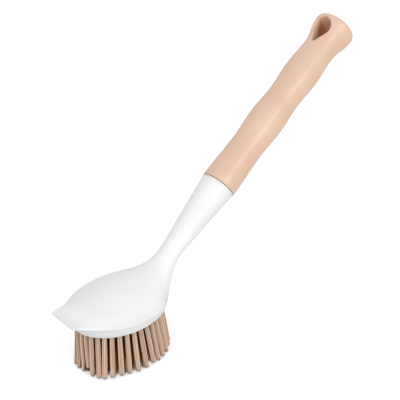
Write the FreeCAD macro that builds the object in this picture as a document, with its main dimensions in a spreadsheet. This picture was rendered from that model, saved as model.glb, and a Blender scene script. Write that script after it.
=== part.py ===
"""Dish brush: a white head and neck in one moulding, a tuft block seated under it,
rows of splayed bristle tufts with their metal anchors, and a moulded grip over the tang.

Frame, in millimetres: +X from the scraper lip to the handle, +Z up. The origin is the centre of
the bristle field, in the plane of the bristle tips.
"""
import FreeCAD, Part
import math
import os
import Sketcher

doc = FreeCAD.newDocument("dish_brush")

# Driving dimensions, in millimetres and degrees
SIZES = {
    # bristle field
    "bristle_length": 30.5,
    "tuft_radius": 1.5,
    "tuft_tip_radius": 1.7,
    "tuft_splay": 5.0,
    "tuft_pitch": 4.4,
    "inner_pitch": 4.5,
    "row_spacing": 4.8,
    "tuft_clearance": 0.08,
    "anchor_height": 1.8,
    "anchor_thickness": 0.4,
    "field_half_length": 26.9,
    "field_half_width": 21.4,
    # tuft block
    "block_margin": 4.1,
    "block_flare": 1.3,
    "block_height": 6.5,
    "block_floor": 1.6,
    "seat_clearance": 0.15,
    "spigot_inset": 8.0,
    "spigot_height": 3.6,
    # head, scraper lip and neck
    "rim_overhang": 1.2,
    "rim_edge_radius": 0.9,
    "rim_drop": 0.2,
    "dome_height": 10.2,
    "lip_reach": 6.3,
    "lip_half_width": 11.0,
    "lip_rise": 5.4,
    "lip_thickness": 1.6,
    "neck_gap": 10.2,
    "neck_rise": 17.0,
    "neck_half_width": 7.4,
    "neck_run": 40.6,
    "seam_rise": 47.1,
    "collar_radius": 11.7,
    "handle_angle": 35.3,
    "seam_gap": 0.5,
    "seam_depth": 1.5,
    # tang inside the grip
    "tang_radius": 6.4,
    "tang_length": 62.0,
    "tang_rib_height": 0.8,
    "tang_rib_width": 4.0,
    "tang_rib_start": 8.0,
    "socket_clearance": 0.1,
    # grip and its hanging hole
    "grip_length": 135.9,
    "grip_mouth_radius": 11.9,
    "grip_mouth_rounding": 0.3,
    "grip_hollow_radius": 11.0,
    "grip_swell_radius": 12.0,
    "grip_flare_radius": 14.2,
    "grip_first_hollow": 32.0,
    "grip_flare_length": 19.0,
    "grip_end_rounding": 2.5,
    "hang_hole_radius": 6.2,
    "hang_hole_point_radius": 1.2,
    "hang_hole_point_drop": 10.9,
    "hang_hole_rounding": 0.8,
    "hang_hole_land": 0.3,
}
NECK_STEPS = 6
TANG_RIBS = 3
TUFT_SIDES = 12
GRIP_WAVES = 5
# What counts as touching, in millimetres
NEAR = 0.01

sheet = doc.addObject("Spreadsheet::Sheet", "Sizes")
for line, (alias, number) in enumerate(SIZES.items(), start=1):
    sheet.set("A%d" % line, alias)
    sheet.set("B%d" % line, str(number))
    sheet.setAlias("B%d" % line, alias)
doc.recompute()

# Places worked out from the driving dimensions
RIM = "(Sizes.bristle_length + Sizes.block_height)"
KEEL = "(Sizes.rim_edge_radius + Sizes.rim_drop)"
LOW_LENGTH = "(Sizes.field_half_length + Sizes.block_margin)"
LOW_WIDTH = "(Sizes.field_half_width + Sizes.block_margin)"
TOP_LENGTH = "(%s + Sizes.block_flare)" % LOW_LENGTH
TOP_WIDTH = "(%s + Sizes.block_flare)" % LOW_WIDTH
SPIGOT_LENGTH = "(%s - Sizes.spigot_inset)" % LOW_LENGTH
SPIGOT_WIDTH = "(%s - Sizes.spigot_inset)" % LOW_WIDTH
RIM_LENGTH = "(%s + Sizes.rim_overhang)" % TOP_LENGTH
RIM_WIDTH = "(%s + Sizes.rim_overhang)" % TOP_WIDTH
SHOULDER_PLACE = "(0.81 * %s)" % RIM_LENGTH
SHOULDER_WIDTH = "(0.56 * %s)" % RIM_WIDTH
NECK_PLACE = "(%s + Sizes.neck_gap)" % RIM_LENGTH
NECK_DROP = "(Sizes.seam_rise - Sizes.neck_run * tan(Sizes.handle_angle) - Sizes.neck_rise)"
SEAM_PLACE = "(%s + Sizes.neck_run)" % NECK_PLACE
SEAM_HEIGHT = "(%s + Sizes.seam_rise)" % RIM
RIB_RADIUS = "(Sizes.tang_radius + Sizes.tang_rib_height)"
RIB_SPACING = "((Sizes.tang_length - 2 * Sizes.tang_rib_start - Sizes.tang_rib_width) / %d)" % (
    TANG_RIBS - 1)
FLARE_PLACE = "(Sizes.grip_length - Sizes.grip_end_rounding)"
HALF_WAVE = "((%s - Sizes.grip_flare_length - Sizes.grip_first_hollow) / %d)" % (FLARE_PLACE, GRIP_WAVES - 1)
HOLE_PLACE = "(%s - Sizes.hang_hole_land - Sizes.hang_hole_rounding - Sizes.hang_hole_radius)" % FLARE_PLACE

SIDEWAYS = FreeCAD.Vector(1, 0, 0)
UPWARDS = FreeCAD.Vector(0, 0, 1)


def size(alias):
    """A driving dimension, read from the sheet."""
    return float(sheet.get(alias))


def worked_out(expression):
    """The number that an expression on the sheet gives."""
    answer = sheet.evalExpression(expression)
    return float(getattr(answer, "Value", answer))


def plane(body, role):
    """One of the body's own origin planes."""
    return next(feature for feature in body.Origin.OriginFeatures if feature.Role == role)


def sketch_on(body, name, role, across=None, out=None, turn=None):
    """An empty sketch on an origin plane, shifted in and out of it and turned by expressions."""
    sketch = body.newObject("Sketcher::SketchObject", name)
    sketch.AttachmentSupport = [(plane(body, role), "")]
    sketch.MapMode = "FlatFace"
    if turn is not None:
        sketch.AttachmentOffset = FreeCAD.Placement(
            FreeCAD.Vector(), FreeCAD.Rotation(SIDEWAYS, worked_out(turn)))
        sketch.setExpression("AttachmentOffset.Rotation.Angle", turn)
    for axis, expression in (("y", across), ("z", out)):
        if expression is not None:
            sketch.setExpression("AttachmentOffset.Base." + axis, expression)
    return sketch


def bind(sketch, index, name, expression):
    """Names a constraint and ties it to the sheet."""
    sketch.renameConstraint(index, name)
    sketch.setExpression("Constraints." + name, expression)


def circle(sketch, radius):
    """A circle about the sketch's origin."""
    ring = sketch.addGeometry(
        Part.Circle(FreeCAD.Vector(), UPWARDS, worked_out(radius)))
    sketch.addConstraint(Sketcher.Constraint("Coincident", ring, 3, -1, 1))
    bind(sketch, sketch.addConstraint(Sketcher.Constraint("Radius", ring, worked_out(radius))),
         "radius", radius)


def ellipse(sketch, half_x, half_y):
    """An ellipse about the sketch's origin, held by its two half axes."""
    width, height = worked_out(half_x), worked_out(half_y)
    flat = width > height
    long_end = FreeCAD.Vector(width, 0, 0) if flat else FreeCAD.Vector(0, height, 0)
    short_end = FreeCAD.Vector(0, height, 0) if flat else FreeCAD.Vector(-width, 0, 0)
    oval = sketch.addGeometry(Part.Ellipse(long_end, short_end, FreeCAD.Vector()))
    sketch.exposeInternalGeometry(oval)
    major, minor = oval + 1, oval + 2
    sketch.addConstraint(Sketcher.Constraint("Coincident", oval, 3, -1, 1))
    sketch.addConstraint(Sketcher.Constraint("Horizontal" if flat else "Vertical", major))
    long_axis = sketch.addConstraint(
        Sketcher.Constraint("Distance", major, 2.0 * max(width, height)))
    short_axis = sketch.addConstraint(
        Sketcher.Constraint("Distance", minor, 2.0 * min(width, height)))
    bind(sketch, long_axis, "long_axis", "2 * (%s)" % (half_x if flat else half_y))
    bind(sketch, short_axis, "short_axis", "2 * (%s)" % (half_y if flat else half_x))


def teardrop(sketch, radius, point_radius, point_drop):
    """A closed teardrop: round about the sketch's origin, with straight sides to a rounded point
    below it."""
    top, low, drop = worked_out(radius), worked_out(point_radius), worked_out(point_drop)
    lean = math.asin((top - low) / drop)
    touch = FreeCAD.Vector(math.cos(lean), -math.sin(lean), 0)
    mirrored = FreeCAD.Vector(-touch.x, touch.y, 0)
    point = FreeCAD.Vector(0, -drop, 0)
    head = sketch.addGeometry(Part.ArcOfCircle(
        Part.Circle(FreeCAD.Vector(), UPWARDS, top), -lean, math.pi + lean))
    left = sketch.addGeometry(Part.LineSegment(mirrored * top, point + mirrored * low))
    tip = sketch.addGeometry(Part.ArcOfCircle(
        Part.Circle(point, UPWARDS, low), math.pi + lean, 2 * math.pi - lean))
    right = sketch.addGeometry(Part.LineSegment(point + touch * low, touch * top))
    for first, second in ((head, left), (left, tip), (tip, right), (right, head)):
        sketch.addConstraint(Sketcher.Constraint("Tangent", first, 2, second, 1))
    sketch.addConstraint(Sketcher.Constraint("Coincident", head, 3, -1, 1))
    sketch.addConstraint(Sketcher.Constraint("PointOnObject", tip, 3, -2))
    for name, kind, values, expression in (
            ("head_radius", "Radius", (head, top), radius),
            ("point_radius", "Radius", (tip, low), point_radius),
            ("point_drop", "DistanceY", (tip, 3, -1, 1, drop), point_drop)):
        bind(sketch, sketch.addConstraint(Sketcher.Constraint(kind, *values)), name, expression)


def oval_section(sketch, half_width, crown, keel, edge):
    """A closed section of four tangent arcs: a crown above, a keel below, two rounded edges."""
    crown_radius = "((%s - %s)^2 + (%s)^2 - (%s)^2) / (2 * (%s - %s))" % (
        half_width, edge, crown, edge, crown, edge)
    keel_radius = "((%s - %s)^2 + (%s)^2 - (%s)^2) / (2 * (%s - %s))" % (
        half_width, edge, keel, edge, keel, edge)
    top, bottom = worked_out(crown_radius), worked_out(keel_radius)
    rounding = worked_out(edge)
    reach = worked_out("%s - %s" % (half_width, edge))
    top_centre = FreeCAD.Vector(0, worked_out(crown) - top, 0)
    bottom_centre = FreeCAD.Vector(0, bottom - worked_out(keel), 0)
    up = math.atan2(-top_centre.y, reach)
    down = math.atan2(bottom_centre.y, reach)

    def arc(centre, radius, start, end):
        ring = Part.Circle(centre, UPWARDS, radius)
        return sketch.addGeometry(Part.ArcOfCircle(ring, start, end))

    right = arc(FreeCAD.Vector(reach, 0, 0), rounding, -down, up)
    above = arc(top_centre, top, up, math.pi - up)
    left = arc(FreeCAD.Vector(-reach, 0, 0), rounding, math.pi - up, math.pi + down)
    below = arc(bottom_centre, bottom, math.pi + down, 2 * math.pi - down)
    for first, second in ((right, above), (above, left), (left, below), (below, right)):
        sketch.addConstraint(Sketcher.Constraint("Tangent", first, 2, second, 1))
    sketch.addConstraint(Sketcher.Constraint("PointOnObject", above, 3, -2))
    sketch.addConstraint(Sketcher.Constraint("PointOnObject", right, 3, -1))
    sketch.addConstraint(Sketcher.Constraint("PointOnObject", left, 3, -1))
    sketch.addConstraint(Sketcher.Constraint("Equal", right, left))
    for name, kind, values, expression in (
            ("edge_radius", "Radius", (right, rounding), edge),
            ("edge_reach", "DistanceX", (-1, 1, right, 3, reach), "%s - %s" % (half_width, edge)),
            ("crown_radius", "Radius", (above, top), crown_radius),
            ("keel_radius", "Radius", (below, bottom), keel_radius)):
        bind(sketch, sketch.addConstraint(Sketcher.Constraint(kind, *values)), name, expression)


def pad(body, name, sketch, length):
    """Material raised from a sketch along its normal."""
    feature = body.newObject("PartDesign::Pad", name)
    feature.Profile = sketch
    feature.setExpression("Length", length)
    doc.recompute()
    return feature


def pocket(body, name, sketch, depth):
    """Material cut from a sketch against its normal."""
    feature = body.newObject("PartDesign::Pocket", name)
    feature.Profile = sketch
    feature.setExpression("Length", depth)
    doc.recompute()
    return feature


def head_sections():
    """Sections from the scraper lip to the collar: place along X, height of the edge line, lean,
    half width, crown, keel and edge radius, each as an expression."""
    edge = "Sizes.rim_edge_radius"
    lip_half = "(0.5 * Sizes.lip_thickness)"
    lip_edge = "(0.75 * %s)" % lip_half
    spread = "(%s - Sizes.lip_half_width)" % RIM_WIDTH
    rows = []
    # scraper lip, flat across, rising forward from the rim
    rows.append(("-(%s + Sizes.lip_reach)" % RIM_LENGTH, RIM + " + Sizes.lip_rise", "0",
                 "Sizes.lip_half_width", lip_half, lip_half, lip_edge))
    rows.append(("-(%s + 0.5 * Sizes.lip_reach)" % RIM_LENGTH, RIM + " + 0.8 * Sizes.lip_rise", "0",
                 "(Sizes.lip_half_width + 0.08 * %s)" % spread, lip_half, "(2.4 * %s)" % lip_half, lip_edge))
    # crease between lip and dome
    rows.append(("-0.98 * %s" % RIM_LENGTH, RIM + " + 0.6 * Sizes.lip_rise", "0",
                 "(Sizes.lip_half_width + 0.2 * %s)" % spread, "(0.14 * Sizes.dome_height)",
                 "(0.6 * Sizes.lip_rise + 0.5 * %s)" % KEEL, edge))
    # leaf-shaped dome: share of the half length, crown share, rise of the edge line
    for share, crown, rise in ((-0.72, 0.6, 0.15), (-0.37, 0.86, 0), (0.0, 1.0, 0), (0.47, 1.08, 0)):
        rows.append(("%g * %s" % (share, RIM_LENGTH), "%s + %g * Sizes.lip_rise" % (RIM, rise), "0",
                     "(%s * sqrt(1 - %g^2))" % (RIM_WIDTH, abs(share)), "(%g * Sizes.dome_height)" % crown,
                     "(%s + %g * Sizes.lip_rise)" % (KEEL, rise), edge))
    # shoulder, where the rim runs up into the neck
    rows.append((SHOULDER_PLACE, RIM + " + 0.04 * Sizes.neck_rise", "0.17 * Sizes.handle_angle",
                 SHOULDER_WIDTH, "(1.2 * Sizes.dome_height)", "(%s + 0.04 * Sizes.neck_rise)" % KEEL,
                 "(1.3 * %s)" % edge))
    half = "(0.25 * %s + 0.75 * Sizes.neck_half_width)" % SHOULDER_WIDTH
    rows.append(("0.5 * (%s + %s)" % (SHOULDER_PLACE, NECK_PLACE), RIM + " + 0.45 * Sizes.neck_rise",
                 "0.57 * Sizes.handle_angle", half, "(0.98 * %s)" % half, "(0.5 * %s)" % half,
                 "(0.25 * %s)" % half))
    # neck, from its waist to the collar, rounding out to a circle
    for step in range(NECK_STEPS + 1):
        share = step / NECK_STEPS
        left = 1 - share
        roundness = 1 - left ** 2
        lean = min(1, 0.88 + 0.4 * share)
        half = "(Sizes.neck_half_width + (Sizes.collar_radius - Sizes.neck_half_width) * %g)" % (
            0.75 * share + 0.25 * share ** 2)
        height = "%s - %g * Sizes.neck_run * tan(Sizes.handle_angle) - %g * %s" % (
            SEAM_HEIGHT, left, left ** 2, NECK_DROP)
        rows.append(("%s + %g * Sizes.neck_run" % (NECK_PLACE, share), height,
                     "%g * Sizes.handle_angle" % lean, half,
                     "(%g * %s)" % (0.9 + 0.085 * roundness, half),
                     "(%g * %s)" % (0.8 + 0.185 * roundness, half),
                     "(%g * %s)" % (0.6 + 0.37 * roundness, half)))
    return rows


def make_head_and_neck():
    """Domed leaf head with its scraper lip, the neck, the step that the grip butts on and the tang,
    in one moulding."""
    lines = doc.addObject("PartDesign::Body", "head_lines")
    sections = []
    for number, (place, height, lean, half_width, crown, keel, edge) in enumerate(head_sections()):
        sketch = sketch_on(lines, "head_section_%d" % number, "YZ_Plane", across=height, out=place,
                           turn="-(%s)" % lean)
        oval_section(sketch, half_width, crown, keel, edge)
        sections.append(sketch)
    form = doc.addObject("Part::Loft", "head_form")
    form.Sections = sections
    form.Solid = True
    form.MaxDegree = 2
    doc.recompute()

    body = doc.addObject("PartDesign::Body", "head_and_neck")
    body.BaseFeature = form
    seat = sketch_on(body, "block_seat", "XY_Plane", out=RIM)
    ellipse(seat, TOP_LENGTH + " + Sizes.seat_clearance", TOP_WIDTH + " + Sizes.seat_clearance")
    pocket(body, "block_seat_cut", seat, "Sizes.block_height")
    socket = sketch_on(body, "spigot_socket", "XY_Plane",
                       out=RIM + " + Sizes.spigot_height + Sizes.seat_clearance")
    ellipse(socket, SPIGOT_LENGTH + " + Sizes.seat_clearance", SPIGOT_WIDTH + " + Sizes.seat_clearance")
    pocket(body, "spigot_socket_cut", socket, "Sizes.spigot_height + Sizes.block_height")

    steps = [("collar_step", "0", "(Sizes.collar_radius - Sizes.seam_depth)", "Sizes.seam_gap"),
             ("tang", "0", "Sizes.tang_radius", "Sizes.tang_length")]
    for number in range(TANG_RIBS):
        start = "(Sizes.tang_rib_start + %d * %s)" % (number, RIB_SPACING)
        steps.append(("tang_rib_%d" % number, start, RIB_RADIUS, "Sizes.tang_rib_width"))
    for name, start, radius, length in steps:
        section = sketch_on(body, name + "_section", "YZ_Plane",
                            across="%s + %s * sin(Sizes.handle_angle)" % (SEAM_HEIGHT, start),
                            out="%s + %s * cos(Sizes.handle_angle)" % (SEAM_PLACE, start),
                            turn="-Sizes.handle_angle")
        circle(section, radius)
        pad(body, name, section, length)
    return body


def tuft_rows():
    """Rows from the rim inwards: where each tuft leaves the block, and its direction outwards."""
    length, width = size("field_half_length"), size("field_half_width")
    spacing, pitch = size("row_spacing"), size("tuft_pitch")
    rows = []
    while min(length, width) > spacing:
        stretch = FreeCAD.Matrix()
        stretch.scale(length, width, 1)
        oval = Part.makeCircle(1).transformGeometry(stretch).Edges[0]
        rows.append(oval.discretize(Number=round(oval.Length / pitch) + 1)[:-1])
        length -= spacing
        width -= spacing
        pitch = size("inner_pitch")
    side = int(length / pitch)
    rows.append([FreeCAD.Vector(number * pitch, 0, 0) for number in range(-side, side + 1)])

    def aimed(place):
        share = math.hypot(place.x / size("field_half_length"), place.y / size("field_half_width"))
        lean = math.radians(size("tuft_splay")) * share
        away = FreeCAD.Vector(place).normalize() if place.Length else SIDEWAYS
        outward = away * math.sin(lean) - UPWARDS * math.cos(lean)
        return place + UPWARDS * size("bristle_length"), outward

    return [[aimed(place) for place in row] for row in rows]


def tuft_ring(foot, outward, reach, radius):
    """A many-sided ring around a tuft, at a reach from where the tuft leaves the block."""
    turn = FreeCAD.Rotation(UPWARDS, outward)
    corners = []
    for number in range(TUFT_SIDES + 1):
        angle = 2 * math.pi * (number % TUFT_SIDES) / TUFT_SIDES
        corner = FreeCAD.Vector(radius * math.cos(angle), radius * math.sin(angle), reach)
        corners.append(foot + turn.multVec(corner))
    return Part.makePolygon(corners)


def make_tuft_block():
    """Block under the head: a flared hull, the spigot that centres it and its drilled tuft holes."""
    body = doc.addObject("PartDesign::Body", "tuft_block_blank")
    sections = []
    for name, rise, share in (("low", 0, 0), ("middle", 0.45, 0.75), ("top", 1, 1)):
        section = sketch_on(body, "block_%s_section" % name, "XY_Plane",
                            out="Sizes.bristle_length + %g * Sizes.block_height" % rise)
        ellipse(section, "%s + %g * Sizes.block_flare" % (LOW_LENGTH, share),
                "%s + %g * Sizes.block_flare" % (LOW_WIDTH, share))
        sections.append(section)
    hull = body.newObject("PartDesign::AdditiveLoft", "block_hull")
    hull.Profile = sections[0]
    hull.Sections = sections[1:]
    spigot = sketch_on(body, "spigot_section", "XY_Plane", out=RIM)
    ellipse(spigot, SPIGOT_LENGTH, SPIGOT_WIDTH)
    pad(body, "spigot", spigot, "Sizes.spigot_height")

    radius = size("tuft_radius") + size("tuft_clearance")
    depth = size("block_height") - size("block_floor")
    drills = []
    for row in tuft_rows():
        for foot, outward in row:
            mouth = Part.Face(tuft_ring(foot, outward, radius, radius))
            drills.append(mouth.extrude(outward * -(depth + radius)))
    holes = doc.addObject("Part::Feature", "tuft_holes")
    holes.Shape = Part.makeCompound(drills)
    block = doc.addObject("Part::Cut", "tuft_block")
    block.Base = body
    block.Tool = holes
    doc.recompute()
    return block


def anchor_slab(end, outward, width, thickness, height):
    """A small upright plate across the inner end of a tuft."""
    slab = Part.makeBox(width, thickness, height, FreeCAD.Vector(-0.5 * width, -0.5 * thickness, 0))
    slab.Placement = FreeCAD.Placement(end, FreeCAD.Rotation(UPWARDS, outward))
    return slab


def make_tufts_and_anchors():
    """Each row of tufts, cut level at the tips, and the anchors that hold them in their holes."""
    play = size("tuft_clearance")
    depth = size("block_height") - size("block_floor") - play
    thickness, height = size("anchor_thickness"), size("anchor_height")
    buried = depth - height - play
    reach = 2 * size("bristle_length")
    flare = (size("tuft_tip_radius") - size("tuft_radius")) / (buried + size("bristle_length"))
    far_radius = size("tuft_radius") + flare * (buried + reach)
    room = 2 * (size("field_half_length") + size("field_half_width") + size("bristle_length"))
    above_tips = Part.makeBox(room, room, room, FreeCAD.Vector(-0.5 * room, -0.5 * room, 0))
    width = 2 * size("tuft_radius")
    nodes = []
    for number, row in enumerate(tuft_rows(), start=1):
        tufts = []
        anchors = []
        for foot, outward in row:
            root = tuft_ring(foot, outward, -buried, size("tuft_radius"))
            far_end = tuft_ring(foot, outward, reach, far_radius)
            rod = Part.makeLoft([root, far_end], True, True)
            tufts.append(rod.common(above_tips).Solids[0])
            anchors.append(anchor_slab(foot - outward * depth, outward, width, thickness, height))
        for name, solids in (("tufts_row_%d" % number, tufts), ("tuft_anchors_row_%d" % number, anchors)):
            node = doc.addObject("Part::Feature", name)
            node.Shape = Part.makeCompound(solids)
            nodes.append(node)
    return nodes


def grip_stations():
    """Mouth, hollows, swells and flare of the grip's outline: place along the grip, radius there."""
    stations = [("Sizes.grip_mouth_rounding", "Sizes.grip_mouth_radius")]
    for number in range(GRIP_WAVES):
        place = "(Sizes.grip_first_hollow + %d * %s)" % (number, HALF_WAVE)
        swollen = number % 2 == 1
        stations.append((place, "Sizes.grip_swell_radius" if swollen else "Sizes.grip_hollow_radius"))
    stations.append((FLARE_PLACE, "Sizes.grip_flare_radius"))
    return stations


def grip_profile(sketch):
    """Half outline of the grip: a rounded mouth, two equal arcs from each hollow to the next swell,
    all tangent, and a rounded end."""
    def tie(kind, *where):
        return sketch.addConstraint(Sketcher.Constraint(kind, *where))

    def arc(centre, start, end):
        """The short arc between two points, and which of its ends is which."""
        ring = Part.Circle(centre, UPWARDS, (start - centre).Length)
        first, last = ring.parameter(start), ring.parameter(end)
        if (last - first) % (2 * math.pi) < math.pi:
            return sketch.addGeometry(Part.ArcOfCircle(ring, first, last)), 1, 2
        return sketch.addGeometry(Part.ArcOfCircle(ring, last, first)), 2, 1

    def rounded(centre, radius, start):
        """A quarter round."""
        ring = Part.Circle(centre, UPWARDS, radius)
        return sketch.addGeometry(Part.ArcOfCircle(ring, start, start + 0.5 * math.pi))

    def hold(curve, end, name, place, radius):
        """Holds a point of the outline at a place along the grip and a radius."""
        bind(sketch, tie("DistanceX", -1, 1, curve, end, worked_out(radius)), name + "_radius", radius)
        bind(sketch, tie("DistanceY", -1, 1, curve, end, worked_out(place)), name + "_place", place)

    stations = grip_stations()
    points = [FreeCAD.Vector(worked_out(radius), worked_out(place), 0) for place, radius in stations]
    lead = size("grip_mouth_rounding")
    inset = points[0] - SIDEWAYS * lead
    mouth = sketch.addGeometry(Part.LineSegment(FreeCAD.Vector(), FreeCAD.Vector(inset.x, 0, 0)))
    lead_in = rounded(inset, lead, -0.5 * math.pi)
    tie("Coincident", mouth, 1, -1, 1)
    tie("Horizontal", mouth)
    tie("Tangent", mouth, 2, lead_in, 1)
    tie("Horizontal", lead_in, 3, lead_in, 2)
    bind(sketch, tie("Radius", lead_in, lead), "mouth_rounding", "Sizes.grip_mouth_rounding")
    bind(sketch, tie("DistanceX", -1, 1, lead_in, 2, points[0].x), "mouth_radius", stations[0][1])
    last_curve, last_end = lead_in, 2
    for number in range(1, len(stations)):
        start, end = points[number - 1], points[number]
        swing = ((end - start).Length ** 2) / (4 * (end.x - start.x))
        middle = (start + end) * 0.5
        first, first_start, first_end = arc(start + SIDEWAYS * swing, start, middle)
        second, second_start, second_end = arc(end - SIDEWAYS * swing, middle, end)
        tie("Coincident", last_curve, last_end, first, first_start)
        tie("Tangent", first, first_end, second, second_start)
        tie("Horizontal", first, 3, first, first_start)
        tie("Horizontal", second, 3, second, second_end)
        tie("Equal", first, second)
        hold(second, second_end, "station_%d" % number, *stations[number])
        last_curve, last_end = second, second_end

    flare = points[-1]
    rounding = size("grip_end_rounding")
    corner = flare - SIDEWAYS * rounding
    bend = rounded(corner, rounding, 0)
    tip = FreeCAD.Vector(0, flare.y + rounding, 0)
    cap = sketch.addGeometry(Part.LineSegment(FreeCAD.Vector(corner.x, tip.y, 0), tip))
    axis = sketch.addGeometry(Part.LineSegment(tip, FreeCAD.Vector()))
    tie("Coincident", last_curve, last_end, bend, 1)
    tie("Horizontal", bend, 3, bend, 1)
    tie("Tangent", bend, 2, cap, 1)
    tie("Horizontal", cap)
    tie("Coincident", cap, 2, axis, 1)
    tie("Coincident", axis, 2, -1, 1)
    tie("Vertical", axis)
    bind(sketch, tie("Radius", bend, rounding), "end_rounding", "Sizes.grip_end_rounding")


def make_grip():
    """Grip with its soft waves, flared end, teardrop hanging hole and the socket for the tang."""
    body = doc.addObject("PartDesign::Body", "grip")
    outline = sketch_on(body, "grip_outline", "YZ_Plane")
    grip_profile(outline)
    turned = body.newObject("PartDesign::Revolution", "grip_form")
    turned.Profile = outline
    turned.ReferenceAxis = (outline, ["V_Axis"])
    turned.Angle = 360
    doc.recompute()

    opening = sketch_on(body, "hang_hole_section", "YZ_Plane", across=HOLE_PLACE)
    teardrop(opening, "Sizes.hang_hole_radius", "Sizes.hang_hole_point_radius", "Sizes.hang_hole_point_drop")
    hole = body.newObject("PartDesign::Pocket", "hang_hole")
    hole.Profile = opening
    hole.Type = "ThroughAll"
    hole.Midplane = True
    doc.recompute()

    rims = []
    for number, edge in enumerate(hole.Shape.Edges, start=1):
        at = edge.valueAt(0.5 * (edge.FirstParameter + edge.LastParameter))
        off_wall = opening.Shape.distToShape(Part.Vertex(0, at.y, at.z))[0]
        outside = abs(at.x) > 0.5 * size("grip_hollow_radius")
        if outside and off_wall < NEAR and edge.Curve.TypeId != "Part::GeomLine":
            rims.append("Edge%d" % number)
    rounding = body.newObject("PartDesign::Fillet", "hang_hole_rims")
    rounding.Base = (hole, rims)
    rounding.setExpression("Radius", "Sizes.hang_hole_rounding")
    doc.recompute()

    socket = sketch_on(body, "tang_socket_section", "XY_Plane")
    circle(socket, RIB_RADIUS + " + Sizes.socket_clearance")
    socket_cut = pocket(body, "tang_socket", socket,
                        "Sizes.tang_length - Sizes.seam_gap + Sizes.socket_clearance")
    socket_cut.Reversed = True

    body.Placement = FreeCAD.Placement(
        FreeCAD.Vector(), FreeCAD.Rotation(FreeCAD.Vector(0, 1, 0), 90 - size("handle_angle")))
    body.setExpression("Placement.Rotation.Angle", "90 - Sizes.handle_angle")
    body.setExpression("Placement.Base.x", SEAM_PLACE + " + Sizes.seam_gap * cos(Sizes.handle_angle)")
    body.setExpression("Placement.Base.z", SEAM_HEIGHT + " + Sizes.seam_gap * sin(Sizes.handle_angle)")
    return body


sub_parts = [make_head_and_neck(), make_tuft_block(), make_grip()] + make_tufts_and_anchors()
doc.recompute()
for item in doc.Objects:
    if "Invalid" in item.State or "Error" in item.State:
        raise RuntimeError("%s failed: %s" % (item.Label, item.State))
for item in sub_parts:
    if item.Shape.isNull() or not item.Shape.isValid():
        raise RuntimeError("%s has no valid shape" % item.Label)
os.makedirs("parts", exist_ok=True)
for item in sub_parts:
    item.Shape.exportStep("parts/%s.step" % item.Label)
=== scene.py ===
# %% [markdown]
# # A dish brush, dressed for its portrait
#
# The brush arrives as solids: a white head with its neck, a block under the head, a grip, rows of
# plain rods where the bristles belong, and the small plates that anchor them. This lesson gives each
# of them the finish of the real one and puts bundles of bristles where the rods are. Everything is in
# metres, in the frame of the solids: +X runs from the scraper lip to the handle, +Z is up, and the
# bristle tips stand on z = 0.

# %% Load the solids as a fixed frame
import math
import random

import bmesh
import bpy
from mathutils import Matrix, Vector


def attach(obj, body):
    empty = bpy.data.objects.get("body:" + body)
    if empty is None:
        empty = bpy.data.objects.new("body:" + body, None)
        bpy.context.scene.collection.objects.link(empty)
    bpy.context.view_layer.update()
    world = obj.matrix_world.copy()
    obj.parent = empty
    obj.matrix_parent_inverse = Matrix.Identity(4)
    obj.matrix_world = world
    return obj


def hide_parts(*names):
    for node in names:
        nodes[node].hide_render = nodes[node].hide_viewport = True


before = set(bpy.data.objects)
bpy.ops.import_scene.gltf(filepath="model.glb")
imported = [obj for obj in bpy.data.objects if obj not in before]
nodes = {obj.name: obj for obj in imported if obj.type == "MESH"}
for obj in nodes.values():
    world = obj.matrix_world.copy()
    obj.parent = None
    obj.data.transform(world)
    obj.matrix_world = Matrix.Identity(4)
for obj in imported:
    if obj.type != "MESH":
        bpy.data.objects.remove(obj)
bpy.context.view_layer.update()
MM = 0.001

# %% [markdown]
# ## The camera
#
# The photograph looks down on the brush from above its left front corner, with a long lens and a
# slight roll. A camera could be turned by hand until it fits, but it is only a place, a direction and
# an up vector, so the three are written down as they were found and made into a matrix. With the
# camera made first, every later decision can be judged in the picture it is for.

# %% Camera at the photograph's angle
CAMERA_PLACE = Vector((-222.5, -331.3, 317.9)) * MM
CAMERA_LOOK = Vector((0.5806, 0.6609, -0.4756))
CAMERA_UP = Vector((0.3399, 0.3341, 0.8791))
CAMERA_LENS = 71.7
CAMERA_SENSOR = 36.0
CAMERA_NEAR = 0.01
CAMERA_FAR = 20


def aim(place, look, up):
    """The matrix of a camera or lamp at a place, looking along a direction."""
    back = -look.normalized()
    right = up.cross(back).normalized()
    upright = back.cross(right)
    turn = Matrix((right, upright, back)).transposed()
    return Matrix.Translation(place) @ turn.to_4x4()


scene = bpy.context.scene
camera_data = bpy.data.cameras.new("camera")
camera_data.lens = CAMERA_LENS
camera_data.sensor_width = CAMERA_SENSOR
camera_data.clip_start = CAMERA_NEAR
camera_data.clip_end = CAMERA_FAR
camera = bpy.data.objects.new("camera", camera_data)
camera.matrix_world = aim(CAMERA_PLACE, CAMERA_LOOK, CAMERA_UP)
scene.collection.objects.link(camera)
scene.camera = camera
print("camera at", [round(c, 3) for c in CAMERA_PLACE])

# %% [markdown]
# ## White satin plastic: starting a material
#
# Head, neck and block are moulded in one white plastic with a satin surface. Every finish in this
# lesson is a Principled shader, which does for plastic, metal and nylon alike. Its colour, roughness
# and bump come from noise on the object's own coordinates. An image would have to be unwrapped and
# would show its pixels close up. Noise has no pixels, and it stays put when the brush is seen from
# another side.


# %% Start the white plastic
def new_material(name):
    """A material with its shader and the object's own coordinates at hand."""
    made = bpy.data.materials.new(name)
    made.use_nodes = True
    tree = made.node_tree
    places = tree.nodes.new("ShaderNodeTexCoord").outputs["Object"]
    return made, tree, tree.nodes["Principled BSDF"], places


white, tree, shader, places = new_material("white_satin_plastic")
print("started", white.name)

# %% [markdown]
# ## White satin plastic: its colour
#
# A moulded white is never one number: it has faint clouds where it cooled. One helper adds a noise,
# one carries it over to the range that is wanted, and one mixes two colours by it. A colour ramp would
# do the last two at once, but apart they also serve roughness and colours that are mixed twice. The
# clouds are kept very faint, because the shape should be told by light.

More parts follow.
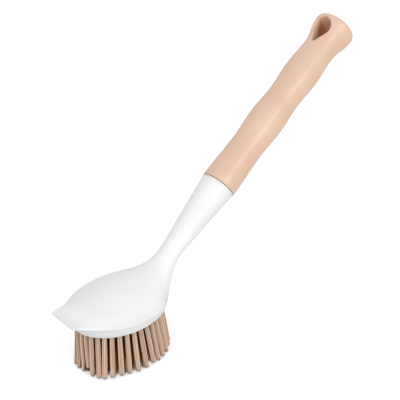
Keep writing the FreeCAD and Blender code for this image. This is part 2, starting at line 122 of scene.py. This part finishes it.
# %% Faint clouds in the white
WHITE_WARM = (0.90, 0.898, 0.893)
WHITE_COOL = (0.870, 0.876, 0.880)


def noise(tree, places, scale, detail=2.0):
    """Soft noise, with scale in waves per metre."""
    node = tree.nodes.new("ShaderNodeTexNoise")
    node.inputs["Scale"].default_value = scale
    node.inputs["Detail"].default_value = detail
    tree.links.new(places, node.inputs["Vector"])
    return node.outputs["Fac"]


def spread(tree, value, low, high, start=0.3, end=0.7):
    """A value from one range carried over to another, and held at its ends."""
    node = tree.nodes.new("ShaderNodeMapRange")
    for label, number in (("From Min", start), ("From Max", end), ("To Min", low), ("To Max", high)):
        node.inputs[label].default_value = number
    tree.links.new(value, node.inputs["Value"])
    return node.outputs["Result"]


def tint(tree, share, first, second):
    """A colour between two, by a share from 0 to 1: each is a colour or the output of a node."""
    node = tree.nodes.new("ShaderNodeMix")
    node.data_type = "RGBA"
    sockets = {socket.identifier: socket for socket in node.inputs}
    tree.links.new(share, sockets["Factor_Float"])
    for label, colour in (("A_Color", first), ("B_Color", second)):
        if isinstance(colour, tuple):
            sockets[label].default_value = (*colour, 1)
        else:
            tree.links.new(colour, sockets[label])
    return next(socket for socket in node.outputs if socket.identifier == "Result_Color")


clouds = spread(tree, noise(tree, places, scale=38), 0, 1)
tree.links.new(tint(tree, clouds, WHITE_WARM, WHITE_COOL), shader.inputs["Base Color"])
print("white between", WHITE_WARM, "and", WHITE_COOL)

# %% [markdown]
# ## White satin plastic: its surface
#
# The satin changes a little from place to place, so the roughness gets a noise of its own. The fine
# grain of the mould is bump: it tilts the light without moving the surface, which is right for marks
# far too small to model. The plastic also lets light a few millimetres in, which softens its shading,
# and Subsurface does that. The solids keep their meshes and only get the new material.

# %% Satin, translucency and grain
WHITE_ROUGHNESS = (0.44, 0.56)
WHITE_TRANSLUCENCY = 0.6
WHITE_LIGHT_REACH = 4 * MM


def grain(tree, shader, height, strength, depth):
    """Bump from a height, with its depth in metres."""
    node = tree.nodes.new("ShaderNodeBump")
    node.inputs["Strength"].default_value = strength
    node.inputs["Distance"].default_value = depth
    tree.links.new(height, node.inputs["Height"])
    tree.links.new(node.outputs["Normal"], shader.inputs["Normal"])


satin = spread(tree, noise(tree, places, scale=140), *WHITE_ROUGHNESS)
tree.links.new(satin, shader.inputs["Roughness"])
shader.inputs["Subsurface Weight"].default_value = WHITE_TRANSLUCENCY
shader.inputs["Subsurface Radius"].default_value = (1, 1, 1)
shader.inputs["Subsurface Scale"].default_value = WHITE_LIGHT_REACH
grain(tree, shader, noise(tree, places, scale=3200, detail=1.0), strength=0.10, depth=0.03 * MM)
print("roughness", WHITE_ROUGHNESS, "and light that goes", WHITE_LIGHT_REACH / MM, "mm in")


# %% White plastic on the head and the block
def dress(material, *names):
    """Gives solids of the frame a material in place of the plain one."""
    for name in names:
        for slot in nodes[name].material_slots:
            slot.material = material
    print(material.name, "on", ", ".join(names))


dress(white, "head_and_neck", "tuft_block")

# %% [markdown]
# ## Peach grip
#
# The grip is a soft matte plastic over the tang. Its peach is mottled on two scales: broad clouds as
# long as a finger is wide, and small flecks. A pattern of dots would look printed, so both come from
# noise. The roughness is middling, so the highlight along the handle is wide and pale.

# %% Peach plastic on the grip
PEACH_LIGHT = (0.80, 0.555, 0.415)
PEACH_DEEP = (0.75, 0.505, 0.365)
PEACH_FLECK = (0.78, 0.50, 0.385)
FLECK_SHARE = 0.5
FLECK_NOISE = (0.5, 0.8)
PEACH_ROUGHNESS = (0.32, 0.42)

peach, tree, shader, places = new_material("peach_matte_grip")
clouds = spread(tree, noise(tree, places, scale=55), 0, 1)
flecks = spread(tree, noise(tree, places, scale=900), 0, FLECK_SHARE, *FLECK_NOISE)
peach_body = tint(tree, flecks, tint(tree, clouds, PEACH_LIGHT, PEACH_DEEP), PEACH_FLECK)
matte = spread(tree, noise(tree, places, scale=220), *PEACH_ROUGHNESS)
tree.links.new(matte, shader.inputs["Roughness"])
grain(tree, shader, noise(tree, places, scale=2600), strength=0.12, depth=0.04 * MM)
dress(peach, "grip")

# %% [markdown]
# ## Painted shade in the hanging hole
#
# Little light reaches deep into the hole, and what gets in goes from wall to wall, and each time the
# peach keeps some of its blue, so the inside looks dark brown. A render follows only a few of those
# bounces, so part of this shade and brown is painted into the colour. Two measures say where it goes.
# A point's distance from the hole's axis picks out the hole's wall, and its distance from the handle's
# axis says how deep in the hole it is. The wall at the end of the grip faces the light, so it gets less
# painted shade and keeps most of its peach.

# %% Distances from the hole
HOLE_CENTRE = Vector((187.6, 0, 157.3)) * MM
HANDLE_AXIS = Vector((0.8161, 0, 0.5779))
HOLE_AXIS = Vector((-0.5779, 0, 0.8161))


def vector_step(tree, operation, first, second=None):
    """One step of vector arithmetic, on one vector or two."""
    node = tree.nodes.new("ShaderNodeVectorMath")
    node.operation = operation
    tree.links.new(first, node.inputs[0])
    if second is not None:
        node.inputs[1].default_value = second
    return node.outputs


def measure(tree, places, origin, axis):
    """How far each point is from an axis through an origin, and how far along it."""
    offset = vector_step(tree, "SUBTRACT", places, origin)["Vector"]
    along = vector_step(tree, "DOT_PRODUCT", offset, axis)["Value"]
    across = vector_step(tree, "CROSS_PRODUCT", offset, axis)["Vector"]
    return vector_step(tree, "LENGTH", across)["Value"], along


off_handle, onward = measure(tree, places, HOLE_CENTRE, HANDLE_AXIS)
off_hole, _ = measure(tree, places, HOLE_CENTRE, HOLE_AXIS)
print("hole at", [round(c / MM, 1) for c in HOLE_CENTRE], "mm")

# %% Painted shade inside the hole
# the dark brown colour of the painted shade deep in the hole
PAINTED_SHADE_IN_HOLE = (0.50, 0.20, 0.075)
# each pair of distances is where a share starts to change and where it has changed
HOLE_WALL = (6.6 * MM, 7.0 * MM)
HOLE_SHADE = (6.5 * MM, 10.0 * MM)
END_WALL = (3.5 * MM, 6.1 * MM)
END_WALL_SHARE = 0.15


def combine(tree, operation, *values):
    """Several values, of which all but the first may be plain numbers, joined by one operation."""
    total = values[0]
    for value in values[1:]:
        node = tree.nodes.new("ShaderNodeMath")
        node.operation = operation
        tree.links.new(total, node.inputs[0])
        if isinstance(value, float):
            node.inputs[1].default_value = value
        else:
            tree.links.new(value, node.inputs[1])
        total = node.outputs[0]
    return total


# how much painted shade a point gets: only on the hole's wall, more the deeper it is, less on the lit
# end wall
in_hole = spread(tree, off_hole, 1, 0, *HOLE_WALL)
shaded = spread(tree, combine(tree, "SUBTRACT", off_handle, onward), 1, 0, *HOLE_SHADE)
end_wall = spread(tree, onward, 1, END_WALL_SHARE, *END_WALL)
painted_shade_share = combine(tree, "MULTIPLY", in_hole, shaded, end_wall)
tree.links.new(tint(tree, painted_shade_share, peach_body, PAINTED_SHADE_IN_HOLE), shader.inputs["Base Color"])
print("brown", PAINTED_SHADE_IN_HOLE, "in the hole")

# %% [markdown]
# ## Steel anchors
#
# Each tuft is held in its hole by a small steel plate, driven in with the tuft's folded end. The
# plates can hardly be seen, so plain grey would pass. They are there all the same, so they get a drawn
# metal: noise that is stretched along one direction by a Mapping node.

# %% Steel on the anchors
STEEL_BRIGHT = (0.62, 0.62, 0.63)
STEEL_DULL = (0.46, 0.46, 0.48)
STEEL_ROUGHNESS = (0.28, 0.45)
DRAWN_STRETCH = (1, 1, 0.1)
ROWS = range(1, 6)

steel, tree, shader, places = new_material("anchor_steel")
drawn = tree.nodes.new("ShaderNodeMapping")
drawn.inputs["Scale"].default_value = DRAWN_STRETCH
tree.links.new(places, drawn.inputs["Vector"])
lines = noise(tree, drawn.outputs["Vector"], scale=9000)
tree.links.new(tint(tree, lines, STEEL_DULL, STEEL_BRIGHT), shader.inputs["Base Color"])
tree.links.new(spread(tree, lines, *STEEL_ROUGHNESS), shader.inputs["Roughness"])
shader.inputs["Metallic"].default_value = 1.0
dress(steel, *["tuft_anchors_row_%d" % row for row in ROWS])

# %% [markdown]
# ## Bristles: one filament
#
# A tuft is a bundle of about forty nylon filaments, each as thick as a pencil line. Hair would be
# quick to make and fine in a picture, but a part that is passed on needs faces. So one filament is a
# five-sided ring, extruded a few times and narrowed at its end. It is repeated thousands of times and
# has to stay this simple: the eye sees the bundle and not the filament.

# %% One filament
FILAMENT_RADIUS = 0.21 * MM
FILAMENT_SIDES = 5
# shares of the length at which the filament has a ring, and how thick it is there
FILAMENT_RINGS = ((0.33, 1.0), (0.66, 1.0), (0.985, 0.95), (1.0, 0.45))


def new_mesh(name, fill):
    """A mesh that is filled by a function, which is given an empty bmesh."""
    mesh = bpy.data.meshes.new(name)
    bm = bmesh.new()
    fill(bm)
    bm.to_mesh(mesh)
    bm.free()
    return mesh


def filament_shape(bm):
    """A thin tapered rod from z = 0 to z = 1, to be stretched to any length."""
    bmesh.ops.create_circle(bm, cap_ends=True, segments=FILAMENT_SIDES, radius=FILAMENT_RADIUS)
    end = bm.faces[:]
    height = 0.0
    thickness = 1.0
    for share, wide in FILAMENT_RINGS:
        grown = bmesh.ops.extrude_face_region(bm, geom=end)["geom"]
        verts = [part for part in grown if isinstance(part, bmesh.types.BMVert)]
        bmesh.ops.translate(bm, verts=verts, vec=(0, 0, share - height))
        bmesh.ops.scale(bm, verts=verts, vec=(wide / thickness, wide / thickness, 1))
        end = [part for part in grown if isinstance(part, bmesh.types.BMFace)]
        height, thickness = share, wide
    bmesh.ops.recalc_face_normals(bm, faces=bm.faces)
    for face in bm.faces:
        face.smooth = len(face.verts) == 4


filament = new_mesh("filament", filament_shape)
print("filament of", len(filament.polygons), "faces")

# %% [markdown]
# ## Bristles: a tuft
#
# The filaments of a tuft fill its hole ring by ring. From there they spread a little and bend a
# little, each its own way, and the outer ones end earlier, so the tuft has a rounded tip. The tufts of
# the outer row stay slim, and those behind it are bushy from use. Every tuft could be made by itself,
# but three of each sort are enough for a whole brush when each is turned about its own axis. Every
# filament also carries a tone, a number that its colour will be made from.

# %% Where a tuft's filaments stand
TUFT_RINGS = 3
# each ring has this many filaments more than the one inside it
RING_STEP = 6
chance = random.Random(7)


def seats():
    """Places of the filaments in a tuft of radius 1, from the middle outwards."""
    yield Vector((0, 0, 0))
    for ring in range(1, TUFT_RINGS + 1):
        count = RING_STEP * ring
        half_step = 0.5 * (ring % 2)
        for step in range(count):
            turn = 2 * math.pi * (step + half_step) / count
            yield Vector((math.cos(turn), math.sin(turn), 0)) * (ring / TUFT_RINGS)


def stray(reach):
    """A small step sideways, in any direction."""
    turn = chance.uniform(0, 2 * math.pi)
    return Vector((math.cos(turn), math.sin(turn), 0)) * reach * chance.random()


print("tuft of", len(list(seats())), "filaments")

# %% Three slim tufts and three bushy ones
TUFT_KINDS = 3
TUFT_ROOT = 1.14 * MM
SLIM_TIP = 1.34 * MM
BUSHY_TIP = 2.45 * MM
TUFT_LENGTH = 32.0 * MM
# shares of the length: how much shorter the outermost filaments are, and any filament by chance
TIP_ROUNDING = 0.022
TIP_CHANCE = 0.5 * TIP_ROUNDING
FILAMENT_STRAY = 0.22 * MM
FILAMENT_BEND = 0.25 * MM


def tuft_shape(bm, tip_radius):
    """A bundle of filaments along +Z, each with its own lean, bend, length and tone."""
    tones = bm.verts.layers.float.new("tone")
    for seat in seats():
        first = len(bm.verts)
        bm.from_mesh(filament)
        bm.verts.ensure_lookup_table()
        root, tip = seat * TUFT_ROOT, seat * tip_radius + stray(FILAMENT_STRAY)
        bow = stray(FILAMENT_BEND)
        length = TUFT_LENGTH * (1 - TIP_ROUNDING * seat.length_squared - TIP_CHANCE * chance.random())
        tone = chance.random()
        turned = Matrix.Rotation(chance.uniform(0, math.pi), 3, "Z")
        for vert in bm.verts[first:]:
            share = vert.co.z
            across = turned @ Vector((vert.co.x, vert.co.y, 0))
            vert.co = across + root.lerp(tip, share) + bow * (4 * share * (1 - share))
            vert.co.z = share * length
            vert[tones] = tone


def tuft_kinds(name, tip_radius):
    """A few bundles that differ only by chance."""
    def fill(bm):
        tuft_shape(bm, tip_radius)

    return [new_mesh("%s_%d" % (name, kind), fill) for kind in range(TUFT_KINDS)]


slim_tufts = tuft_kinds("tuft", SLIM_TIP)
bushy_tufts = tuft_kinds("bushy_tuft", BUSHY_TIP)
print(TUFT_KINDS, "tufts of each sort, of", len(slim_tufts[0].polygons), "faces")

# %% [markdown]
# ## Bristles: where the rods are
#
# The solids already say where each tuft stands and which way it leans: every rod of a row is one
# island of that row's mesh. The places could be typed in again, but then they would be wrong as soon
# as the solids change. So the islands are read from a copy whose corners have been merged, and the
# middle of each rod's upper and lower end gives the line that its bundle follows.

# %% The rods of a row
MERGE_DISTANCE = 0.002 * MM


def islands(name):
    """The corners of each rod of a row."""
    bm = bmesh.new()
    bm.from_mesh(nodes[name].data)
    bmesh.ops.remove_doubles(bm, verts=bm.verts, dist=MERGE_DISTANCE)
    bm.verts.ensure_lookup_table()
    seen = [False] * len(bm.verts)
    found = []
    for start in bm.verts:
        island = [] if seen[start.index] else [start]
        seen[start.index] = True
        for vert in island:
            for edge in vert.link_edges:
                other = edge.other_vert(vert)
                if not seen[other.index]:
                    seen[other.index] = True
                    island.append(other)
        if island:
            found.append([vert.co.copy() for vert in island])
    bm.free()
    return found


for row in ROWS:
    print("row", row, "has", len(islands("tufts_row_%d" % row)), "rods")

# %% The line of each rod
ROD_END = 0.6 * MM


def middle(corners):
    """The middle of the box round some points."""
    lows = Vector([min(corner[axis] for corner in corners) for axis in range(3)])
    highs = Vector([max(corner[axis] for corner in corners) for axis in range(3)])
    return 0.5 * (lows + highs)


def rod_line(corners):
    """The line of a rod from its upper end to its lower one."""
    top = max(corner.z for corner in corners)
    low = min(corner.z for corner in corners)
    upper = [corner for corner in corners if corner.z > top - ROD_END]
    lower = [corner for corner in corners if corner.z < low + ROD_END]
    return middle(upper), middle(lower)


def rods(name):
    """Root and tip of each rod of a row, in order around the field."""
    found = [rod_line(corners) for corners in islands(name)]
    return sorted(found, key=lambda line: math.atan2(line[0].y, line[0].x) % (2 * math.pi))


root, tip = rods("tufts_row_1")[0]
print("the first rod of row 1 is", round((tip - root).length / MM, 1), "mm long")

# %% [markdown]
# ## Bristles: planting them
#
# No two tufts of a used brush stand alike, so each bundle is turned, leaned and shortened by chance,
# and the inner rows are pressed outwards. Chance alone would never give the tufts that are seen best,
# so the leans and lengths of the front ones are set after the photograph: they fan out to both sides,
# one falls across its neighbour, and the front left ones are longest.

# %% How the tufts stand
TIP_LEAN = 0.9 * MM
TRIM_MOST = 1.1 * MM
# how far the tips of each row are pressed outwards, in millimetres
ROW_LEANS = {1: 0.0, 2: 4.4, 3: 4.2, 4: 3.4, 5: 1.5}
# front tufts by their number around the outer row: how far the tip is moved along the row and outwards
# and how much is cut off, in millimetres
FRONT_HABITS = {
    13: (2.0, 0.3, 0.3), 14: (3.0, 0.8, 0.2), 15: (4.7, 1.9, 0.0), 16: (4.0, 1.0, 0.0),
    17: (3.3, 0.1, 0.0), 18: (3.0, 0.0, 4.5), 19: (1.1, 1.0, 0.0), 20: (0.7, 1.6, 0.0),
    21: (-0.9, 2.2, 0.0), 22: (-1.3, 1.0, 0.0), 23: (-0.8, -0.1, 0.0), 24: (-0.8, -0.1, 0.0),
    25: (-0.1, 0.4, 0.0), 26: (0.6, 0.6, 0.0), 27: (1.6, 0.4, 0.0), 28: (-0.1, 1.5, 0.0),
    29: (-0.8, 1.5, 0.0), 30: (-1.4, 1.6, 0.0), 31: (-0.2, 1.1, 0.0), 32: (-0.9, 0.7, 0.0),
}
UP = Vector((0, 0, 1))


def habit(row, number, tip):
    """How the tip of a tuft is moved, and how much of the tuft is cut off."""
    away = Vector((tip.x, tip.y, 0)).normalized()
    lean = stray(TIP_LEAN) + away * ROW_LEANS[row] * MM
    trim = TRIM_MOST * chance.random()
    if row == 1 and number in FRONT_HABITS:
        along, out, short = FRONT_HABITS[number]
        lean = (UP.cross(away) * along + away * out) * MM
        trim = short * MM
    return lean, trim


print(len(FRONT_HABITS), "tufts set by hand")

# %% Plant every row
TONE_CHANGE = 0.25
# how far the tone of every inner tuft is raised, into the range that gets painted shade
PAINTED_SHADE_RAISE = 1.6


def plant(bm, row, root, tip, trim):
    """Adds a bundle from a root to a tip, shortened by a trim: slim in the outer row, or else bushy."""
    line = tip - root
    first = len(bm.verts)
    bm.from_mesh(chance.choice(slim_tufts if row == 1 else bushy_tufts))
    bm.verts.ensure_lookup_table()
    verts = bm.verts[first:]
    tones = bm.verts.layers.float["tone"]
    # the raised tone of the inner rows marks them for painted shade
    tuft_tone_and_shade = chance.uniform(-TONE_CHANGE, TONE_CHANGE) + (0 if row == 1 else PAINTED_SHADE_RAISE)
    for vert in verts:
        vert[tones] += tuft_tone_and_shade
    stretch = Matrix.Diagonal((1, 1, (line.length - trim) / TUFT_LENGTH, 1))
    spun = Matrix.Rotation(chance.uniform(0, 2 * math.pi), 4, "Z")
    leaned = line.to_track_quat("Z", "Y").to_matrix().to_4x4()
    bmesh.ops.transform(bm, matrix=Matrix.Translation(root) @ leaned @ spun @ stretch, verts=verts)


def plant_row(row):
    """The bundles of one row as one piece in place of its rods."""
    def fill(bm):
        bm.verts.layers.float.new("tone")
        for number, (root, tip) in enumerate(rods("tufts_row_%d" % row)):
            lean, trim = habit(row, number, tip)
            plant(bm, row, root, tip + lean, trim)

    name = "bristles_row_%d" % row
    piece = bpy.data.objects.new(name, new_mesh(name, fill))
    scene.collection.objects.link(piece)
    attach(piece, "root")
    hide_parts("tufts_row_%d" % row)
    print(name, "with", len(piece.data.polygons), "faces")
    return piece


bristles = [plant_row(row) for row in ROWS]

# %% [markdown]
# ## Tan nylon
#
# The filaments are tan nylon, some paler and some deeper, which is what their tone is for. Past that
# range the tone of the inner rows picks painted shade: deep brown towards the block, where hardly any
# light gets in, and a lighter brown lower down. The last few millimetres of all are greyer. Each of
# these could be a material of its own, but then they would meet at hard lines. Height above the floor
# is simply Z here, so ranges on Z blend them.

# %% Tan nylon on the bristles
TAN_PALE = (0.86, 0.66, 0.51)
TAN_DEEP = (0.63, 0.42, 0.29)
# painted shade on the inner rows: a lighter brown low down and a deep brown towards the block
INNER_PAINTED_SHADE_LOW = (0.22, 0.10, 0.04)
INNER_PAINTED_SHADE_HIGH = (0.07, 0.018, 0.003)
INNER_PAINTED_SHADE_HEIGHTS = (4 * MM, 20 * MM)
PAINTED_SHADE_TONES = (1.25, 1.45)
TIP_GREY = (0.40, 0.365, 0.325)
TIP_SHARE = 0.85
TIP_HEIGHTS = (1.2 * MM, 3.2 * MM)
NYLON_ROUGHNESS = (0.38, 0.55)
NYLON_GLOSS = 0.05

tan, tree, shader, places = new_material("tan_nylon")
tone_node = tree.nodes.new("ShaderNodeAttribute")
tone_node.attribute_name = "tone"
tone = tone_node.outputs["Fac"]
split = tree.nodes.new("ShaderNodeSeparateXYZ")
tree.links.new(places, split.inputs["Vector"])
height = split.outputs["Z"]
outer = tint(tree, spread(tree, tone, 0, 1, 0, 1), TAN_PALE, TAN_DEEP)
# the painted shade of the inner rows, by height
painted_inner_shade = tint(tree, spread(tree, height, 0, 1, *INNER_PAINTED_SHADE_HEIGHTS), INNER_PAINTED_SHADE_LOW, INNER_PAINTED_SHADE_HIGH)
nylon = tint(tree, spread(tree, tone, 0, 1, *PAINTED_SHADE_TONES), outer, painted_inner_shade)
# the last few millimetres of every filament are mixed towards grey
greyer_tips = spread(tree, height, TIP_SHARE, 0, *TIP_HEIGHTS)
tree.links.new(tint(tree, greyer_tips, nylon, TIP_GREY), shader.inputs["Base Color"])
matte = spread(tree, noise(tree, places, scale=700), *NYLON_ROUGHNESS)
tree.links.new(matte, shader.inputs["Roughness"])
shader.inputs["Specular IOR Level"].default_value = NYLON_GLOSS
for piece in bristles:
    piece.data.materials.append(tan)
print(tan.name, "on", len(bristles), "rows")

# %% [markdown]
# ## Floor
#
# The brush stands on white paper that shows no horizon. A brighter lamp would whiten the paper, but
# it would whiten the brush as well. So the paper adds a little glow of its own where it is seen
# directly, and gives back to the brush only the light that it gets. The shadow under the bristles
# stays.

# %% White paper under the brush
FLOOR_HALF = 3.0
FLOOR_DROP = 0.2 * MM
FLOOR_GLOW = 0.56
PAPER_SEEN = (0.62, 0.62, 0.62)
PAPER_DULL = (0.62, 0.62, 0.62)
PAPER_LIGHT = (0.65, 0.65, 0.65)
PAPER_ROUGHNESS = 0.9


def seen_directly(tree):
    """1 for what the camera, a reflection or a look through glass sees, 0 for light on the object."""
    rays = tree.nodes.new("ShaderNodeLightPath").outputs
    kinds = [rays[label] for label in ("Is Camera Ray", "Is Glossy Ray", "Is Transmission Ray")]
    return combine(tree, "MAXIMUM", *kinds)


def floor_shape(bm):
    """One large square just under the bristle tips."""
    bmesh.ops.create_grid(bm, x_segments=1, y_segments=1, size=FLOOR_HALF)
    bmesh.ops.translate(bm, verts=bm.verts, vec=(0, 0, -FLOOR_DROP))


floor = bpy.data.objects.new("floor", new_mesh("floor", floor_shape))
scene.collection.objects.link(floor)
paper, tree, shader, places = new_material("white_paper")
directly = seen_directly(tree)
paper_light = tint(tree, spread(tree, noise(tree, places, scale=6), 0, 1), PAPER_DULL, PAPER_LIGHT)
tree.links.new(tint(tree, directly, paper_light, PAPER_SEEN), shader.inputs["Base Color"])
tree.links.new(combine(tree, "MULTIPLY", directly, FLOOR_GLOW), shader.inputs["Emission Strength"])
shader.inputs["Emission Color"].default_value = (1, 1, 1, 1)
shader.inputs["Roughness"].default_value = PAPER_ROUGHNESS
floor.data.materials.append(paper)
print(paper.name, "on a floor of", 2 * FLOOR_HALF, "m")

# %% [markdown]
# ## Light
#
# A white object on a white ground needs light with a direction, or it melts into the ground. One big
# lamp overhead would leave it flat. So a long low strip on the right draws the highlight along the
# grip and lights the neck, a softer lamp fills the left, and a faint one behind parts the handle from
# the ground. The strip lies along the handle, so the lamps take the direction across the handle as
# their up. A pale world keeps the shadows open.

# %% Lamps
# name, place, width and height in metres, and power in watts
LAMPS = (
    ("right", (-0.04, -0.99, 0.52), (0.9, 0.22), 4.6),
    ("left", (-0.80, -0.15, 0.80), (0.6, 0.6), 2.4),
    ("back", (0.1, 0.9, 0.7), (0.8, 0.8), 0.5),
)
LAMP_TARGET = Vector((0.07, 0, 0.07))
ACROSS_HANDLE = Vector((-0.578, 0, 0.816))

for name, place, (width, height), power in LAMPS:
    lamp_data = bpy.data.lights.new(name, "AREA")
    lamp_data.shape = "RECTANGLE"
    lamp_data.size = width
    lamp_data.size_y = height
    lamp_data.energy = power
    lamp = bpy.data.objects.new(name, lamp_data)
    lamp.matrix_world = aim(Vector(place), LAMP_TARGET - Vector(place), ACROSS_HANDLE)
    scene.collection.objects.link(lamp)
print(len(LAMPS), "lamps")

# %% World
WORLD_STRENGTH = 0.62

world = bpy.data.worlds.new("studio")
scene.world = world
world.use_nodes = True
tree = world.node_tree
sky = tree.nodes["Background"]
sky.inputs["Color"].default_value = (1, 1, 1, 1)
tree.links.new(spread(tree, seen_directly(tree), WORLD_STRENGTH, 1, 0, 1), sky.inputs["Strength"])
scene.view_settings.view_transform = "Standard"
print("world at", WORLD_STRENGTH)
